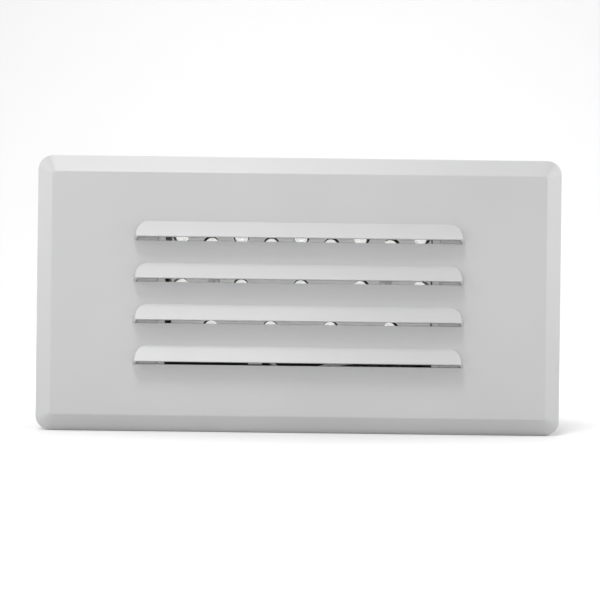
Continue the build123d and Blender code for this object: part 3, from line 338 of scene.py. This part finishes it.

# %% [markdown]
# ## Zinc and steel
#
# Hot-dip galvanised sheet shows spangle: flat zinc crystals a few millimetres wide, each of which
# mirrors the room at its own angle. Cell noise gives every crystal one grey and one roughness.
# Its coordinates are first pushed about by a finer noise, because real crystals have ragged
# edges, and a wave texture whose phase differs from cell to cell draws their fine branches.
# Plated parts have no spangle but a faint drawn grain and a yellow to blue cast, and spring steel
# is darker, because it is oiled and left bare. The two screws of the panel are zinc painted pale
# and only partly metal, partly a painted highlight: the light behind the camera gives them no
# mirror image, and the photograph shows them nearly as light as the panel.

# %% Metal finishes
def galvanised_sheet(name, colour):
    """Zinc-dipped sheet with spangle: ragged crystals, each with fine branches of its own."""
    material = finish(name, colour, 0.42, metallic=1.0)
    place = object_place(material)
    wander = add_node(material, "ShaderNodeTexNoise")
    wander.inputs["Scale"].default_value = 1 / (2.2 * MM)
    wander.inputs["Detail"].default_value = 4
    join(material, place, wander.inputs["Vector"])
    push = 1.6 * MM
    ragged = add_node(material, "ShaderNodeVectorMath", operation="MULTIPLY_ADD")
    ragged.inputs[1].default_value = (push, push, push)
    join(material, wander.outputs["Color"], ragged.inputs[0])
    join(material, place, ragged.inputs[2])
    crystal = cells(material, ragged.outputs["Vector"], 4.5 * MM, output="Color")
    parts = add_node(material, "ShaderNodeSeparateColor")
    join(material, crystal, parts.inputs["Color"])
    branches = add_node(material, "ShaderNodeTexWave", wave_profile="SIN")
    branches.inputs["Scale"].default_value = 1 / (2.4 * MM)
    branches.inputs["Distortion"].default_value = 2.5
    branches.inputs["Detail"].default_value = 3
    join(material, ragged.outputs["Vector"], branches.inputs["Vector"])
    join(material, parts.outputs["Blue"], branches.inputs["Phase Offset"])
    branch_share = 0.22
    feather = add_node(material, "ShaderNodeMath", operation="MULTIPLY_ADD")
    feather.inputs[1].default_value = branch_share
    join(material, branches.outputs["Fac"], feather.inputs[0])
    join(material, parts.outputs["Red"], feather.inputs[2])
    shade = between(
        material, feather.outputs["Value"], (0.0, tint(colour, 0.86)), (1.0, tint(colour, 1.10))
    )
    join(material, shade, shader_of(material).inputs["Base Color"])
    gloss = spread(material, parts.outputs["Green"], 0.36, 0.50)
    join(material, gloss, shader_of(material).inputs["Roughness"])
    frost = cloudiness(material, place, 0.6 * MM)
    skin = relief(material, frost, 0.01 * MM, 0.3)
    join(material, skin, shader_of(material).inputs["Normal"])
    return material


def plated_metal(name, colour, cast, roughness, grain_along=(1, 1, 1)):
    """Plated or bare metal with a drawn grain and a slight cast of another colour."""
    material = finish(name, colour, roughness, metallic=1.0)
    place = object_place(material)
    clouds = cloudiness(material, place, 12 * MM)
    shade = between(material, clouds, (0.35, colour), (0.7, cast))
    join(material, shade, shader_of(material).inputs["Base Color"])
    drawn = object_place(material, stretch=grain_along)
    lines = cloudiness(material, drawn, 1.2 * MM, detail=4)
    gloss = spread(material, lines, roughness - 0.08, roughness + 0.08)
    join(material, gloss, shader_of(material).inputs["Roughness"])
    skin = relief(material, lines, 0.006 * MM, 0.3)
    join(material, skin, shader_of(material).inputs["Normal"])
    return material


galvanised = galvanised_sheet("galvanised_finish", (0.55, 0.57, 0.58))
zinc_plate = plated_metal(
    "zinc_plate_finish", (0.66, 0.66, 0.63), (0.68, 0.63, 0.50), 0.30, (1, 1, 9)
)
screw_steel = plated_metal("screw_steel_finish", (0.62, 0.62, 0.60), (0.55, 0.55, 0.58), 0.40)
# painted highlight: the panel screws are pale and partly diffuse so that the front light shows on
# them
zinc_with_painted_highlight = plated_metal("pale_zinc_finish", (0.88, 0.88, 0.86), (0.80, 0.80, 0.82), 0.36)
shader_of(zinc_with_painted_highlight).inputs["Metallic"].default_value = 0.4
spring_steel = plated_metal(
    "spring_steel_finish", (0.34, 0.35, 0.37), (0.30, 0.29, 0.33), 0.28, (1, 1, 12)
)
aluminium = plated_metal("aluminium_finish", (0.76, 0.76, 0.77), (0.70, 0.70, 0.71), 0.36)
tinned = plated_metal("tinned_finish", (0.72, 0.71, 0.68), (0.80, 0.79, 0.76), 0.24)
print("metal finishes made")

# %% [markdown]
# ## Plastic, foam and board
#
# Moulded housings carry a spark-eroded texture, which is a fine even pebble. Wire insulation is
# smoother and a little glossy. The gasket is closed-cell foam, so its skin is full of
# half-millimetre pits, and these are painted darker than the skin round them: painted shade in
# their hollows. The circuit board's solder mask is a green painted so dark that it looks black
# round the LEDs: painted shade for the gaps there. It lies over copper, which shows as slightly
# raised lighter tracks. Cell colours cut off at one value are a cheap way to draw tracks that no
# one will follow.

# %% Plastics
def moulded(name, colour, roughness, pebble, depth, coat=0.0):
    """A moulded plastic with a pebbled skin."""
    material = finish(name, colour, roughness, specular=0.4, coat=coat)
    place = object_place(material)
    clouds = cloudiness(material, place, 7 * MM)
    shade = between(material, clouds, (0.3, tint(colour, 0.9)), (0.7, tint(colour, 1.08)))
    join(material, shade, shader_of(material).inputs["Base Color"])
    skin = relief(material, cells(material, place, pebble), depth, 0.4)
    join(material, skin, shader_of(material).inputs["Normal"])
    return material


driver_black = moulded("driver_black_finish", (0.030, 0.030, 0.032), 0.55, 0.5 * MM, 0.03 * MM)
black_nylon = moulded("black_nylon_finish", (0.028, 0.028, 0.028), 0.45, 0.3 * MM, 0.01 * MM)
white_nylon = moulded("white_nylon_finish", (0.92, 0.91, 0.88), 0.42, 0.3 * MM, 0.01 * MM)
orange_nut = moulded("orange_nut_finish", (0.78, 0.25, 0.03), 0.38, 0.4 * MM, 0.012 * MM)
green_nut = moulded("green_nut_finish", (0.03, 0.27, 0.09), 0.38, 0.4 * MM, 0.012 * MM)
white_insulation = moulded("white_pvc_finish", (0.88, 0.88, 0.86), 0.32, 1.4 * MM, 0.01 * MM)
black_insulation = moulded("black_pvc_finish", (0.025, 0.025, 0.025), 0.3, 1.4 * MM, 0.01 * MM)
green_insulation = moulded("green_pvc_finish", (0.03, 0.26, 0.08), 0.3, 1.4 * MM, 0.01 * MM)
capacitor_sleeve = moulded(
    "capacitor_sleeve_finish", (0.035, 0.045, 0.14), 0.22, 2 * MM, 0.01 * MM, coat=0.4
)
coil_tape = moulded("coil_tape_finish", (0.70, 0.52, 0.10), 0.35, 2.5 * MM, 0.03 * MM, coat=0.2)
print("plastic finishes made")


# %% Foam, board, resistors, green screw
def foam_skin(name, colour):
    """Closed-cell foam with open pits where it was cut."""
    material = finish(name, colour, 0.92, specular=0.2)
    place = object_place(material)
    pits = cells(material, place, 0.7 * MM)
    # painted shade: the pits are darker than the skin round them
    shade = between(material, pits, (0.1, tint(colour, 0.55)), (0.6, tint(colour, 1.2)))
    join(material, shade, shader_of(material).inputs["Base Color"])
    skin = relief(material, pits, 0.25 * MM, 0.7)
    join(material, skin, shader_of(material).inputs["Normal"])
    return material


def board_mask(name, mask, track):
    """Solder mask over copper tracks."""
    material = finish(name, mask, 0.32, coat=0.3)
    place = object_place(material)
    grid = cells(material, object_place(material, stretch=(1, 1, 2.2)), 5 * MM, output="Color")
    lanes = add_node(material, "ShaderNodeSeparateColor")
    join(material, grid, lanes.inputs["Color"])
    cut_off = 0.50
    copper = between(material, lanes.outputs["Red"], (cut_off, mask), (cut_off + 0.02, track))
    join(material, copper, shader_of(material).inputs["Base Color"])
    weave = cloudiness(material, place, 0.8 * MM)
    step = relief(material, lanes.outputs["Red"], 0.02 * MM, 0.3)
    skin = relief(material, weave, 0.01 * MM, 0.3, under=step)
    join(material, skin, shader_of(material).inputs["Normal"])
    return material


gasket_foam = foam_skin("foam_finish", (0.085, 0.085, 0.09))
# painted shade: the mask is nearly black so that the gaps round the LED domes show dark
solder_mask = board_mask("solder_mask_finish", (0.005, 0.010, 0.007), (0.009, 0.018, 0.012))
resistor_lacquer = moulded("resistor_finish", (0.30, 0.22, 0.12), 0.45, 0.6 * MM, 0.02 * MM)
green_dye = plated_metal("green_screw_finish", (0.04, 0.30, 0.12), (0.06, 0.36, 0.14), 0.34)
print("foam, board and lacquer finishes made")

# %% [markdown]
# ## LED epoxy
#
# The domes are cast in clear epoxy over a tiny reflector cup, and the photograph shows both: a
# bright white heart and a greyer rim. The cup is a piece of its own inside. The epoxy here lets
# nearly half the light through and has a slight haze, so that a few samples are enough to render
# it cleanly. In the photograph the domes gather light that comes in through the slits. So few
# paths find their way there in a render that a weak glow of the epoxy stands for it.

# %% Epoxy and reflector
epoxy = finish("led_epoxy_finish", (0.95, 0.95, 0.94), 0.12, specular=0.5)
shader_of(epoxy).inputs["Transmission Weight"].default_value = 0.45
shader_of(epoxy).inputs["IOR"].default_value = 1.5
# painted glow: the emission stands in for light gathered through the slits, not a lit LED
shader_of(epoxy).inputs["Emission Color"].default_value = (1, 1, 0.99, 1)
shader_of(epoxy).inputs["Emission Strength"].default_value = 0.30
epoxy_place = object_place(epoxy)
epoxy_haze = cloudiness(epoxy, epoxy_place, 1.5 * MM)
join(
    epoxy,
    between(epoxy, epoxy_haze, (0.3, (0.88, 0.88, 0.87)), (0.7, (0.97, 0.97, 0.96))),
    shader_of(epoxy).inputs["Base Color"],
)
reflector = plated_metal("reflector_finish", (0.93, 0.93, 0.91), (0.88, 0.88, 0.86), 0.3)
print("epoxy made")

# %% [markdown]
# ## Dressing the CAD nodes
#
# A node keeps its mesh and takes its finish through the material slot it came with. The table
# below goes from a slot's name in the record to the finish made for it, so every node is covered
# and a new one can't be missed.

# %% Finishes on the nodes
finishes = {
    "white_powder_coat": white_coat_with_painted_shade,
    "foam": gasket_foam,
    "galvanised": galvanised,
    "zinc_plated": zinc_plate,
    "spring_steel": spring_steel,
    "white_paint": white_panel,
    "aluminium": aluminium,
    "screw_steel": screw_steel,
    "solder_mask": solder_mask,
    "led_epoxy": epoxy,
    "resistor_body": resistor_lacquer,
    "black_nylon": black_nylon,
    "white_nylon": white_nylon,
    "tinned_pins": tinned,
    "white_pvc": white_insulation,
    "black_pvc": black_insulation,
    "green_pvc": green_insulation,
    "driver_black": driver_black,
    "yellow_tape": coil_tape,
    "capacitor_sleeve": capacitor_sleeve,
    "orange_nut": orange_nut,
    "green_nut": green_nut,
    "green_screw": green_dye,
}
slot_of = {part["node"]: part["material_slot"] for part in frame["record"]["subparts"]}
body_members = frame["record"]["behaviour"]["bodies"]
body_of = {node: body for body, members in body_members.items() for node in members}
for node_name, node in nodes.items():
    node.material_slots[0].material = finishes[slot_of[node_name]]
print("dressed:", len(nodes), "nodes in", len(set(slot_of.values())), "finishes")

# %% [markdown]
# ## Building new pieces
#
# New pieces are built in a bmesh and written to an object at the origin. Round things are turned
# on a lathe: a profile of points is spun about its axis. The helper keeps the profile in its own
# two directions, out from the axis and along it, and turns the result to face where it should.

# %% Piece helpers
def keep_piece(mesh_work, name, body, material, replaced=(), smooth_angle=40):
    """Writes a bmesh to an object that rides on a body."""
    bmesh.ops.remove_doubles(mesh_work, verts=mesh_work.verts, dist=0.002 * MM)
    bmesh.ops.recalc_face_normals(mesh_work, faces=mesh_work.faces)
    mesh = bpy.data.meshes.new(name)
    mesh_work.to_mesh(mesh)
    mesh_work.free()
    mesh.materials.append(material)
    piece = bpy.data.objects.new(name, mesh)
    bpy.context.scene.collection.objects.link(piece)
    for polygon in mesh.polygons:
        polygon.use_smooth = True
    mesh.set_sharp_from_angle(angle=radians(smooth_angle))
    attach(piece, body)
    if replaced:
        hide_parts(*replaced)
    print(name + ":", len(mesh.polygons), "faces")
    return piece


def lathe(profile, steps):
    """A closed turned shape about its own Z, from a profile of (radius, height) points."""
    work = bmesh.new()
    line = [work.verts.new((radius, 0, height)) for radius, height in profile]
    runs = [work.edges.new(pair) for pair in zip(line, line[1:])]
    bmesh.ops.spin(
        work,
        geom=line + runs,
        cent=(0, 0, 0),
        axis=(0, 0, 1),
        angle=2 * pi,
        steps=steps,
        use_merge=True,
    )
    bmesh.ops.remove_doubles(work, verts=work.verts, dist=0.001 * MM)
    return work


def place_copy(target, pattern, spot, facing):
    """Adds a copy of a pattern to a bmesh, with the pattern's Z turned to face one way."""
    turn = Vector((0, 0, 1)).rotation_difference(Vector(facing)).to_matrix().to_4x4()
    before = len(target.verts)
    target.from_mesh(pattern)
    target.verts.ensure_lookup_table()
    moved = target.verts[before:]
    bmesh.ops.transform(target, matrix=Matrix.Translation(spot) @ turn, verts=moved)


def pattern_mesh(work, name):
    """A bmesh as a mesh that can be copied many times."""
    mesh = bpy.data.meshes.new(name)
    work.to_mesh(mesh)
    work.free()
    return mesh


print("piece helpers ready")

# %% [markdown]
# ## LED domes
#
# A 5 mm LED is a cylinder with a half-round end and a thin rim at its foot, cut flat on the side
# of its negative lead. Its profile is turned in one go. The flat is a plane that cuts the rim
# only, and the hole that the cut leaves is filled. The leads and the reflector cup are separate
# metal.

# %% LED domes
TO_ROOM = Vector((0, -1, 0))
led_radius = 2.5 * MM
led_rim = 2.9 * MM
led_rim_height = 1.0 * MM
led_rim_soft = 0.1 * MM
led_height = 8.6 * MM

dome_profile = [(0, 0), (led_rim - led_rim_soft, 0), (led_rim, led_rim_soft)]
dome_profile.append((led_rim, led_rim_height - led_rim_soft))
dome_profile.append((led_rim - led_rim_soft, led_rim_height))
dome_profile.append((led_radius, led_rim_height + 0.05 * MM))
dome_profile += [
    (led_radius * cos(radians(angle)), led_height - led_radius * (1 - sin(radians(angle))))
    for angle in range(0, 90, 10)
]
dome_profile.append((0, led_height))
dome = lathe(dome_profile, 32)
flat_place = led_radius + 0.02 * MM
cut = bmesh.ops.bisect_plane(
    dome,
    geom=dome.verts[:] + dome.edges[:] + dome.faces[:],
    plane_co=(flat_place, 0, 0),
    plane_no=(1, 0, 0),
    clear_outer=True,
)
cut_edges = [item for item in cut["geom_cut"] if isinstance(item, bmesh.types.BMEdge)]
bmesh.ops.contextual_create(dome, geom=cut_edges)
dome_pattern = pattern_mesh(dome, "dome_pattern")

row_centres = {}
for number in range(1, 5):
    node = nodes[f"led_row_{number}"]
    low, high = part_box(node.name)
    count = 5 if number % 2 else 4
    reach = (high.x - low.x) / 2 - led_rim
    middle = (low.x + high.x) / 2
    foot = low.y + led_height
    centres = [
        Vector((middle + reach * (2 * i / (count - 1) - 1), foot, (low.z + high.z) / 2))
        for i in range(count)
    ]
    row_centres[number] = centres
    domes = bmesh.new()
    for centre in centres:
        place_copy(domes, dome_pattern, centre, TO_ROOM)
    keep_piece(domes, f"led_domes_{number}", "wall_box", epoxy, [node.name])

# %% [markdown]
# Inside each dome the negative lead ends in an anvil with a polished cup, and the positive lead
# in a thinner post beside it. The cup is a short cone turned on the lathe, and the posts are thin
# bars that go down through the foot and the circuit board.

# %% LED leads and cups
def add_bar(work, size, centre):
    """Adds a square bar to a bmesh, its size and centre in millimetres."""
    corners = bmesh.ops.create_cube(work, size=1)["verts"]
    bmesh.ops.scale(work, verts=corners, vec=Vector(size) * MM)
    bmesh.ops.translate(work, verts=corners, vec=Vector(centre) * MM)


lead_thick = 0.5
lead_foot = -3.1
anvil_top = 3.5
post_top = 5.2
post_out = 1.27
cup_profile = [(0, 3.4), (0.9, 3.4), (1.15, 5.4), (0.85, 5.5), (0.35, 4.7), (0, 4.7)]
inner = lathe([(radius * MM, height * MM) for radius, height in cup_profile], 16)
for x, top in ((-post_out, anvil_top), (post_out, post_top)):
    add_bar(inner, (lead_thick, lead_thick, top - lead_foot), (x, 0, (top + lead_foot) / 2))
bridge_size = (1.3, lead_thick, 0.8)
bridge_centre = (-0.85, 0, 3.2)
add_bar(inner, bridge_size, bridge_centre)
inner_pattern = pattern_mesh(inner, "inner_pattern")
cups = bmesh.new()
for centres in row_centres.values():
    for centre in centres:
        place_copy(cups, inner_pattern, centre, TO_ROOM)
cup_piece = keep_piece(cups, "led_cups_and_leads", "wall_box", reflector)

# %% [markdown]
# ## Screws with threads
#
# The frame's screws have plain shanks. A thread is one small V-shaped profile that is turned and
# moved along at the same time: the spin operator does both with its dvec. Laid over a shank that
# is thinner by the thread's depth, its crest is at the shank's true size.
#
# The head is turned with its top left open. A cross of twelve points is drawn in that opening,
# the ring between the two outlines is filled with triangles, and the cross is extruded down and
# drawn in to make the recess that a screwdriver bites into.

# %% Screw maker
def cross_recess(screw, reach, half_width, top, depth):
    """Fills a head's open top and sinks a cross into it."""
    taper = 0.62
    arm = [(reach, -half_width), (reach, half_width), (half_width, half_width)]
    outline = []
    for _ in range(4):
        outline += arm
        arm = [(-y, x) for x, y in arm]
    rim = [edge for edge in screw.edges if edge.is_boundary]
    corners = [screw.verts.new((x, y, top)) for x, y in outline]
    cross = [screw.edges.new(pair) for pair in zip(corners, corners[1:] + corners[:1])]
    bmesh.ops.triangle_fill(screw, use_beauty=True, use_dissolve=False, edges=rim + cross)
    sunk = bmesh.ops.extrude_edge_only(screw, edges=cross)["geom"]
    low_corners = [item for item in sunk if isinstance(item, bmesh.types.BMVert)]
    low_edges = [item for item in sunk if isinstance(item, bmesh.types.BMEdge)]
    bmesh.ops.translate(screw, verts=low_corners, vec=(0, 0, -depth))
    bmesh.ops.scale(screw, verts=low_corners, vec=(taper, taper, 1))
    floor_edges = [edge for edge in low_edges if edge.is_boundary]
    bmesh.ops.triangle_fill(screw, use_beauty=True, use_dissolve=False, edges=floor_edges)


def thread_of(core, crest, length, pitch):
    """One turned tooth along a shank that ends at -length, in millimetres."""
    thread = bmesh.new()
    tip_gap = 0.6 * pitch
    head_gap = 0.7 * pitch
    start = -length + tip_gap
    run = length - tip_gap - head_gap
    root = core - 0.03
    root_half = 0.45 * pitch
    crest_half = 0.07 * pitch
    tooth = [(root, -root_half), (crest, -crest_half), (crest, crest_half), (root, root_half)]
    corners = [thread.verts.new((radius * MM, 0, (start + up) * MM)) for radius, up in tooth]
    edges = [thread.edges.new(pair) for pair in zip(corners, corners[1:] + corners[:1])]
    steps_per_turn = 18
    steps = int(run / pitch * steps_per_turn)
    bmesh.ops.spin(
        thread,
        geom=corners + edges,
        cent=(0, 0, 0),
        axis=(0, 0, 1),
        angle=2 * pi * run / pitch,
        dvec=(0, 0, run * MM / steps),
        steps=steps,
    )
    bmesh.ops.holes_fill(thread, edges=thread.edges, sides=4)
    bmesh.ops.recalc_face_normals(thread, faces=thread.faces)
    return thread


def threaded_screw(shank, length, head, head_height, pitch):
    """A pan-head screw with its seat at z = 0, a cross recess and a thread, in millimetres."""
    thread_depth = 0.32 * pitch
    core = shank - thread_depth
    flat_share = 0.64
    side_share = 0.3
    profile = [(0, -length), (core * 0.6, -length), (core, -length + 0.5 * pitch)]
    profile += [(core, 0), (head, 0), (head, side_share * head_height)]
    for angle in range(15, 91, 15):
        out = flat_share + (1 - flat_share) * cos(radians(angle))
        up = side_share + (1 - side_share) * sin(radians(angle))
        profile.append((head * out, head_height * up))
    screw = lathe([(radius * MM, height * MM) for radius, height in profile], 32)
    cross_recess(
        screw,
        reach=0.58 * head * MM,
        half_width=0.15 * head * MM,
        top=head_height * MM,
        depth=0.6 * head_height * MM,
    )
    thread_mesh = pattern_mesh(thread_of(core, shank, length, pitch), "thread_pattern")
    screw.from_mesh(thread_mesh)
    return pattern_mesh(screw, "screw_pattern")


print("screw maker ready")


# %% [markdown]
# The frame's plain screws say where the new ones go. The box of a set ends at the rims of its
# outer heads, so the seats lie one head's radius inside it, and one head's height from the side
# that the heads face. The frame's round heads are faceted and can fall a hundredth of a
# millimetre short of their size, so the box is rounded to tenths.

# %% Seats from the frame
def box_in_tenths(node_name):
    """The low and high corner of a node in millimetres, rounded to tenths."""
    return [[round(value / MM, 1) for value in corner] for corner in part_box(node_name)]


def heads_between(low, high, head):
    """Where heads stand along a stretch: one in its middle, or one at each end."""
    if high - low < 4 * head:
        return [(low + high) / 2]
    return [low + head, high - head]


def seats_to_room(node_name, head, head_height):
    """The seats of screws whose heads face the room."""
    low, high = box_in_tenths(node_name)
    seat = low[1] + head_height
    xs = heads_between(low[0], high[0], head)
    zs = heads_between(low[2], high[2], head)
    return [((x, seat, z), TO_ROOM) for x in xs for z in zs]


def seats_to_sides(node_name, head, head_height):
    """The seats of screws whose heads face outwards at the left and the right end."""
    low, high = box_in_tenths(node_name)
    y = (low[1] + high[1]) / 2
    zs = heads_between(low[2], high[2], head)
    ends = [(low[0] + head_height, -1), (high[0] - head_height, 1)]
    return [((x, y, z), (side, 0, 0)) for x, side in ends for z in zs]


print("seat helpers ready")


# %% The four sets of screws
def screw_set(node_name, pattern, seats, metal=screw_steel):
    """Threaded screws at their seats, in place of the frame's plain ones."""
    work = bmesh.new()
    for spot, facing in seats:
        place_copy(work, pattern, Vector(spot) * MM, facing)
    keep_piece(work, "threaded_" + node_name, body_of[node_name], metal, [node_name], 30)


fine_head = {"head": 2.7, "head_height": 2.0}
pan_head = {"head": 3.3, "head_height": 2.2}
fine_screw = threaded_screw(shank=1.5, length=16, pitch=0.5, **fine_head)
frame_screw, short_screw, bracket_screw = (
    threaded_screw(shank=1.75, length=length, pitch=1.27, **pan_head) for length in (8, 5, 6)
)

panel_seats = seats_to_room("panel_screws", **fine_head)
frame_seats = seats_to_room("frame_screws", **pan_head)
driver_seats = seats_to_room("driver_screws", **pan_head)
bracket_seats = seats_to_sides("bracket_screws", **pan_head)
seat_count = sum(map(len, (panel_seats, frame_seats, driver_seats, bracket_seats)))
print("seats:", seat_count)
screw_set("panel_screws", fine_screw, panel_seats, metal=zinc_with_painted_highlight)
screw_set("frame_screws", frame_screw, frame_seats)
screw_set("driver_screws", short_screw, driver_seats)
screw_set("bracket_screws", bracket_screw, bracket_seats)

# %% [markdown]
# ## Wires
#
# Inside the box each wire is held at both ends. A curve with a round bevel is the natural way to
# model one: its control points are the route, and a NURBS curve of order 3 rounds every corner of
# it evenly, as a stiff wire does. The table of routes gives each wire the lead that it stands
# for, its radius, and its points in millimetres.

# %% Wire maker
def wire(name, route, radius, replaced):
    """An insulated wire along control points in millimetres."""
    curve = bpy.data.curves.new(name, "CURVE")
    curve.dimensions = "3D"
    curve.bevel_depth = radius * MM
    curve.bevel_resolution = 5
    curve.resolution_u = 10
    curve.use_fill_caps = True
    line = curve.splines.new("NURBS")
    line.points.add(len(route) - 1)
    for point, spot in zip(line.points, route):
        point.co = (*(Vector(spot) * MM), 1)
    line.order_u = 3
    line.use_endpoint_u = True
    curve.materials.append(finishes[slot_of[replaced]])
    piece = bpy.data.objects.new(name, curve)
    bpy.context.scene.collection.objects.link(piece)
    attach(piece, "wall_box")
    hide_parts(replaced)
    print(name + ":", len(route), "points, radius", radius, "mm")


# %% The five leads
panel_lead = 0.75
supply_lead = 1.3
routes = {
    "lead_to_panel_positive": ("led_lead_positive", panel_lead, [
        (-18.35, 18.7, -26.8),
        (-13.2, 18.7, -26.8),
        (-7.6, 18.8, -32.4),
        (1.5, 19.1, -33.7),
        (12.5, 20.1, -29.6),
        (22.5, 24.2, -27.4),
        (30.0, 35.7, -25.4),
        (30.5, 48.7, -23.4),
        (23.0, 61.45, -22.35),
        (8.2, 61.35, -22.05),
    ]),
    "lead_to_panel_negative": ("led_lead_negative", panel_lead, [
        (-18.35, 20.7, -26.8),
        (-13.2, 20.7, -26.8),
        (-7.6, 20.8, -33.5),
        (1.5, 21.1, -34.8),
        (12.5, 22.1, -30.7),
        (22.5, 26.2, -29.1),
        (30.0, 37.7, -28.8),
        (33.9, 50.7, -26.8),
        (24.7, 61.45, -26.25),
        (8.2, 61.35, -25.95),
    ]),
    "supply_wire_black": ("supply_lead_black", supply_lead, [
        (-62.2, 60.8, -18.0),
        (-74.0, 60.8, -18.0),
        (-75.0, 60.0, -5.5),
        (-75.0, 60.0, 13.0),
    ]),
    "supply_wire_white": ("supply_lead_white", supply_lead, [
        (-62.2, 60.8, -30.0),
        (-77.0, 60.8, -30.0),
        (-85.7, 58.8, -17.0),
        (-87.0, 57.5, -1.0),
        (-87.0, 57.5, 13.0),
    ]),
    "ground_wire": ("ground_lead", supply_lead, [
        (-29.0, 67.1, 20.0),
        (-40.5, 67.1, 20.0),
        (-48.0, 60.0, 18.6),
        (-58.0, 60.0, 18.6),
    ]),
}
for wire_name, (lead, lead_radius, route) in routes.items():
    wire(wire_name, route, lead_radius, lead)

# %% [markdown]
# ## Sizes of the model and the frame
#
# The box that the frame takes up and the box of the picture's model are printed side by side.

# %% Sizes
low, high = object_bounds()
print("cad box:", [round(1000 * (b - a), 1) for a, b in zip(cad_low, cad_high)])
print("visual box:", [round(1000 * (b - a), 1) for a, b in zip(low, high)])
